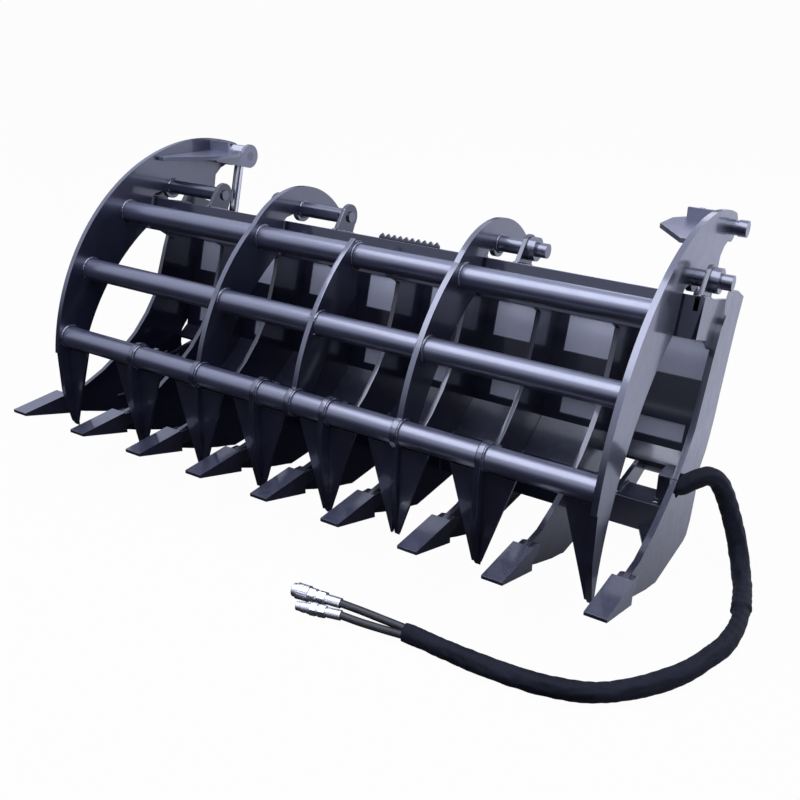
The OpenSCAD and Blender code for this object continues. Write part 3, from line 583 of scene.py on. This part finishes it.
# Paint and small edge rounds on the CAD nodes
def finish_for(node):
    if node.startswith("tooth"):
        return TOOTH_PAINT
    if node.startswith(("pivot_pins", "hook_pins", "base_pins")):
        return PIN_PAINT
    if node.startswith("rod_"):
        return CHROME
    # Near-white copy of the paint: painted light and reflection on the back sheet
    if node == "back_sheet":
        return SHEET_PAINTED_LIGHT
    # Lighter copy of the paint: painted light on the clamp tubes
    if node.startswith("clamp_tube"):
        return TUBE_PAINTED_LIGHT
    # Lighter copy of the paint: painted light on the hook brackets
    if node.startswith("hook_bracket"):
        return BRACKET_PAINTED_LIGHT
    if node.startswith(("clamp", "claw", "pivot_sleeves")):
        return CLAMP_PAINT
    return FRAME_PAINT


def dress(node, item):
    item.data.materials.clear()
    item.data.materials.append(finish_for(node))
    join = item.modifiers.new("join", "WELD")
    join.merge_threshold = 0.00001
    edge = item.modifiers.new("edge", "BEVEL")
    edge.width = 0.0012
    edge.segments = 2
    edge.limit_method = "ANGLE"
    edge.angle_limit = math.radians(40)
    edge.use_clamp_overlap = True
    shade = item.modifiers.new("shade", "WEIGHTED_NORMAL")
    shade.weight = 90
    shade.keep_sharp = False


for node_name, node_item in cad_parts.items():
    if not node_item.hide_render:
        dress(node_name, node_item)


class Beads:
    """Weld beads of one area, gathered into one piece."""

    SIDES = 8
    STEP = 0.0026
    # A direction that no run follows, for the first normal
    ASKEW = (0.31, 0.57, 0.76)

    def __init__(self, name, body, slot):
        self.name, self.body, self.slot = name, body, slot
        self.vertices, self.faces = [], []

    def run(self, points, r, closed=False, ripple=7.0):
        """A rippled bead of radius r along the points, in millimetres of the side views."""
        line = np.array([np.array(place(*p)) for p in points])
        if closed:
            line = np.vstack((line, line[:1]))
        reach = reach_along(line)
        even, wanted = even_points(line, reach, max(3, int(reach[-1] / self.STEP)))
        if closed:
            even, wanted = even[:-1], wanted[:-1]
            tangents = np.roll(even, -1, axis=0) - np.roll(even, 1, axis=0)
        else:
            tangents = np.gradient(even, axis=0)
        tangents /= np.linalg.norm(tangents, axis=1)[:, None]
        normal = np.array(self.ASKEW)
        base = len(self.vertices)
        for p, t, s in zip(even, tangents, wanted):
            normal = normal - (normal @ t) * t
            normal /= np.linalg.norm(normal)
            side = np.cross(t, normal)
            size = r * (1 + 0.13 * wave(*(p * 60)))
            for k in range(self.SIDES):
                a = math.tau * k / self.SIDES
                step = (s / MM / ripple + 0.18 * math.cos(a)) % 1.0
                scale = size * (1 + 0.20 * (step - 0.5)) * MM
                self.vertices.append(ring_point(p, scale, a, normal, side))
        for face in ring_faces(len(even), self.SIDES, closed):
            self.faces.append(tuple(base + v for v in face))
        if not closed:
            self.faces += end_caps(base, len(self.vertices) - self.SIDES, self.SIDES)

    def ring(self, x, centre, radius, r, start=0.0, sweep=math.tau):
        """A bead of radius r round a tube at x, whole or an arc from the start angle."""
        count = max(8, int(radius * sweep / 5))
        whole = sweep >= math.tau
        angles = [start + sweep * k / count for k in range(count + (0 if whole else 1))]
        y, z = centre
        points = [(x, y + radius * math.cos(a), z + radius * math.sin(a)) for a in angles]
        self.run(points, r, whole)

    def done(self):
        link_mesh(self.name, self.vertices, self.faces, WELD_PAINT, self.body, 50)


# How far a bead's middle lies off the tube that it rings
BEAD_LIFT = 1.5
# The short centre plate holds only part of the middle tube's round
CENTRE_ARC = (math.radians(-150), math.radians(300))


def beaded_sides(x):
    """Both sides of a clamp plate, but only the inner side of an end plate."""
    return [side for side in (-1, 1) if abs(x) != CLAMP_END or side * x < 0]


tube_welds = Beads("weld_beads_tubes", "clamp", "clamp_paint")
for key, centre in TUBES.items():
    for x in CLAMP_PLATES:
        arc = CENTRE_ARC if x == 0 and key == "middle" else (0.0, math.tau)
        for side in beaded_sides(x):
            tube_welds.ring(x + side * CLAMP_T / 2, centre, TUBE_R + BEAD_LIFT, 4.2, *arc)
for x in CLAWS:
    for side in (-1, 1):
        tube_welds.ring(x + side * CLAMP_T / 2, TUBES["bottom"], TUBE_R + BEAD_LIFT, 4.0)
tube_welds.done()

sleeve_welds = Beads("weld_beads_sleeves", "clamp", "clamp_paint")
for x in CLAMP_PLATES:
    if x != 0:
        for side in beaded_sides(x):
            sleeve_welds.ring(x + side * CLAMP_T / 2, HINGE, HINGE_SLEEVE_R + BEAD_LIFT, 3.8)
sleeve_welds.done()

frame_welds = Beads("weld_beads_frame", "frame", "frame_paint")


def low_beam_welds(face, r):
    """Beads up the front and along the top of the lower beam, at one face of a tine."""
    foot = (face, LOW_BEAM_FRONT, LOW_BEAM_BOTTOM)
    edge = (face, LOW_BEAM_FRONT, LOW_BEAM_TOP)
    rear = (face, LOW_BEAM_REAR, LOW_BEAM_TOP)
    frame_welds.run([foot, edge], r)
    frame_welds.run([edge, rear], r)


for x in TINES[1:-1]:
    for side in (-1, 1):
        low_beam_welds(x + side * TINE_T / 2, 3.8)
for side in (-1, 1):
    low_beam_welds(side * END_TINE_FACE, 4.2)
frame_welds.done()

ear_welds = Beads("weld_beads_ears", "frame", "frame_paint")
ear_front = beam_point(EAR_FRONT - BEAM_HALF, BEAM_HALF)
ear_rear = beam_point(BEAM_HALF, BEAM_HALF)
ear_edge = beam_point(EAR_FRONT - 1 - BEAM_HALF, BEAM_HALF)
for x, sleeve_len in STATIONS:
    for way in (-1, 1):
        inner = x + way * (sleeve_len / 2 + EAR_GAP)
        outer = inner + way * EAR_T
        for face in (inner, outer):
            ear_welds.run([(face, *ear_front), (face, *ear_rear)], 4.4, ripple=8)
        ear_welds.run([(inner, *ear_edge), (outer, *ear_edge)], 4.2)
ear_welds.done()

lug_welds = Beads("weld_beads_lugs", "frame", "frame_paint")
lug_front = (LUG_FRONT, LOW_BEAM_TOP)
lug_rear = (LOW_BEAM_REAR, LOW_BEAM_TOP)
lug_foot = (LOW_BEAM_REAR, LUG_BOTTOM)
lug_edge = (LUG_FRONT, LOW_BEAM_TOP + 1)
for side in (-1, 1):
    for way in (-1, 1):
        inner = side * LUG_PAIR_X + way * LUG_INNER
        outer = inner + way * LUG_T
        for face in (inner, outer):
            lug_welds.run([(face, *lug_front), (face, *lug_rear)], 4.6, ripple=8)
            lug_welds.run([(face, *lug_rear), (face, *lug_foot)], 4.2, ripple=8)
        lug_welds.run([(inner, *lug_edge), (outer, *lug_edge)], 4.6)
lug_welds.done()

# Floor, backdrop and light: white for the camera, bluish and graded in reflections
FLOOR_REACH = 40
floor_mesh = bpy.data.meshes.new("floor")
corners = [(x * FLOOR_REACH, y * FLOOR_REACH, 0) for x, y in ((-1, -1), (1, -1), (1, 1), (-1, 1))]
floor_mesh.from_pydata(corners, [], [(0, 1, 2, 3)])
floor = bpy.data.objects.new("floor", floor_mesh)
scene.collection.objects.link(floor)

WHITE = (1, 1, 1)
floor_material = bpy.data.materials.new("pale_floor")
graph = Graph(floor_material)
plain = graph.add("BsdfDiffuse", Color=(0.16, 0.16, 0.165, 1))
seen, mirror = graph.rays()
across = graph.add("SeparateXYZ", Vector=graph.add("TexCoord").outputs["Object"]).outputs
behind = graph.math("ADD", across["X"], graph.math("MULTIPLY", across["Y"], 0.6))
shine = graph.math("MULTIPLY", mirror, graph.mapped(behind, 0.5, 1.5, 0.015, 0.9))
level = graph.math("MAXIMUM", graph.math("MULTIPLY", seen, 1.08), shine)
tint = graph.blend(seen, (0.78, 0.81, 1.0), WHITE)
glow = graph.add("Emission", Color=tint, Strength=level)
share = graph.math("MAXIMUM", graph.math("MULTIPLY", seen, 0.90), mirror)
graph.mix_to("OutputMaterial", share, plain, glow)
floor_mesh.materials.append(floor_material)

world = bpy.data.worlds.new("studio")
scene.world = world
graph = Graph(world)
dim = graph.add("Background", Color=(0.93, 0.95, 1.0, 1), Strength=0.3)
seen, mirror = graph.rays()
height = graph.add("SeparateXYZ", Vector=graph.add("TexCoord").outputs["Generated"]).outputs["Z"]
sky = graph.math("MULTIPLY", mirror, graph.mapped(height, 0.10, 0.42, 0.04, 1.1))
tint = graph.blend(seen, (0.76, 0.80, 1.0), WHITE)
bright = graph.add("Background", Color=tint, Strength=graph.math("MAXIMUM", seen, sky))
graph.mix_to("OutputWorld", graph.math("MAXIMUM", seen, mirror), dim, bright)

LAMP_COLOUR = (0.84, 0.87, 1.0)
LAMP_AIM = Vector((0, 0, 0.4))
for lamp_name, spot, width, height, power in (
    ("key", (0.2, -0.7, 3.3), 4.2, 2.8, 120),
    ("side", (2.6, 3.0, 1.1), 2.6, 1.8, 16),
    ("rear", (-0.2, 4.2, 1.9), 1.8, 1.2, 10),
):
    lamp_data = bpy.data.lights.new(lamp_name, "AREA")
    lamp_data.shape = "RECTANGLE"
    lamp_data.size = width
    lamp_data.size_y = height
    lamp_data.energy = power
    lamp_data.color = LAMP_COLOUR
    lamp = bpy.data.objects.new(lamp_name, lamp_data)
    scene.collection.objects.link(lamp)
    lamp.location = spot
    lamp.rotation_euler = (LAMP_AIM - Vector(spot)).to_track_quat("-Z", "Y").to_euler()

scene.view_settings.view_transform = "Standard"
